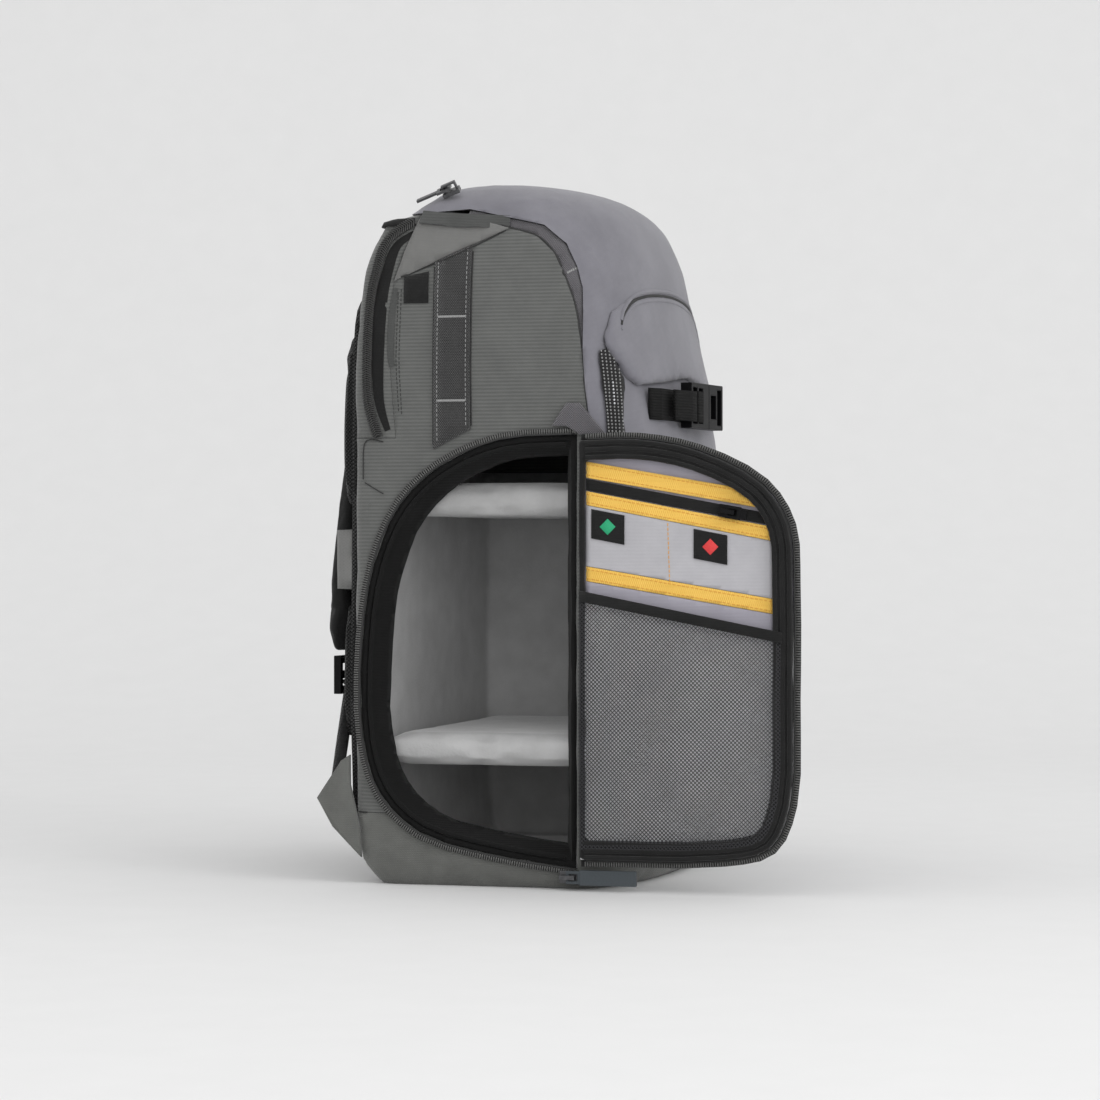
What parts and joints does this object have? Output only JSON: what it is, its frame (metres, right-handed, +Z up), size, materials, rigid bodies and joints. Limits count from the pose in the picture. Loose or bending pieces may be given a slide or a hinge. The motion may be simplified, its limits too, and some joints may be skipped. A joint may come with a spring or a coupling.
{
  "type": "camera backpack",
  "caption": "Padded grey camera backpack standing upright with its side access door swung fully open on its hinge fold",
  "frame": {"origin": "on the floor, in the middle of the base", "axes": "+Z up along the bag's height, X across the shoulders with the open side door at -X, +Y towards the harness and -Y towards the front panel"},
  "size_m": [0.3206, 0.3353, 0.4697],
  "materials": {
    "hood": "smooth woven cloth, matt",
    "side": "ribbed woven cloth, matt",
    "patch": "plain woven cloth, matt",
    "base": "plain coated cloth, matt",
    "black": "black woven cloth, matt",
    "webbing": "ribbed webbing, matt",
    "strip": "ribbed webbing, matt",
    "lining": "brushed padded lining, matt",
    "door": "thin lining cloth, matt",
    "yellow": "binding tape, matt",
    "green": "woven tag, matt",
    "red": "woven tag, matt",
    "mesh": "open net, matt",
    "plastic": "moulded, satin",
    "metal": "dark lacquered metal",
    "rubber": "moulded rubber, matt"
  },
  "bodies": {
    "bag": {"main_body": "side", "base_panel": "base", "hood_front_panel": "hood", "top_zip_garage_left": "webbing", "top_zip_garage_right": "webbing", "rear_compartment": "side", "rear_zip": "black", "corner_patch_left": "patch", "corner_patch_right": "patch", "side_webbing_left": "webbing", "side_webbing_right": "webbing", "side_label": "black", "opening_gusset": "black", "opening_zip": "black", "inner_lining": "lining", "divider_upper": "lining", "divider_lower": "lining", "door_panel": "side", "door_rim": "black", "door_zip": "black", "door_hinge_fold": "black", "corner_webbing": "strip", "tape_upper": "yellow", "tape_middle": "yellow", "tape_lower": "yellow", "pocket_zip_band": "black", "pocket_panel": "door", "lower_flap_lining": "door", "tag_green": "green", "tag_red": "red", "mesh_pocket": "mesh", "mesh_binding": "black", "front_strip_left": "strip", "front_strip_right": "strip", "front_pocket": "hood", "buckle_plug": "plastic", "buckle_socket": "plastic", "front_strap_left": "webbing", "front_strap_right": "webbing", "strap_tail": "webbing", "back_panel": "black", "back_pad_upper": "black", "back_pad_lower": "black", "luggage_band": "webbing", "grab_handle": "webbing", "shoulder_strap_left": "black", "ladder_lock_left": "plastic", "adjuster_strap_left": "webbing", "strap_wing_left": "base", "shoulder_strap_right": "black", "ladder_lock_right": "plastic", "adjuster_strap_right": "webbing", "strap_wing_right": "base", "top_slider": "metal", "door_slider": "metal", "pocket_slider": "plastic"},
    "top_zip_pull": {"top_pull": "metal"},
    "door_zip_pull": {"door_pull": "rubber"},
    "pocket_zip_pull": {"pocket_pull": "plastic"}
  },
  "joints": [
    {"name": "top_pull_hinge", "type": "hinge", "parent": "bag", "child": "top_zip_pull", "pos_m": [-0.12692, 0.03552, 0.46455], "axis": [0.8789, 0.171, 0.4454], "range_deg": [0, 150]},
    {"name": "door_pull_hinge", "type": "hinge", "parent": "bag", "child": "door_zip_pull", "pos_m": [-0.1575, -0.054, 0.009], "axis": [0, 0, -1], "range_deg": [0, 150]},
    {"name": "pocket_pull_hinge", "type": "hinge", "parent": "bag", "child": "pocket_zip_pull", "pos_m": [-0.1653, -0.1617, 0.24715], "axis": [0, 0.1864, -0.9825], "range_deg": [0, 150]}
  ]
}
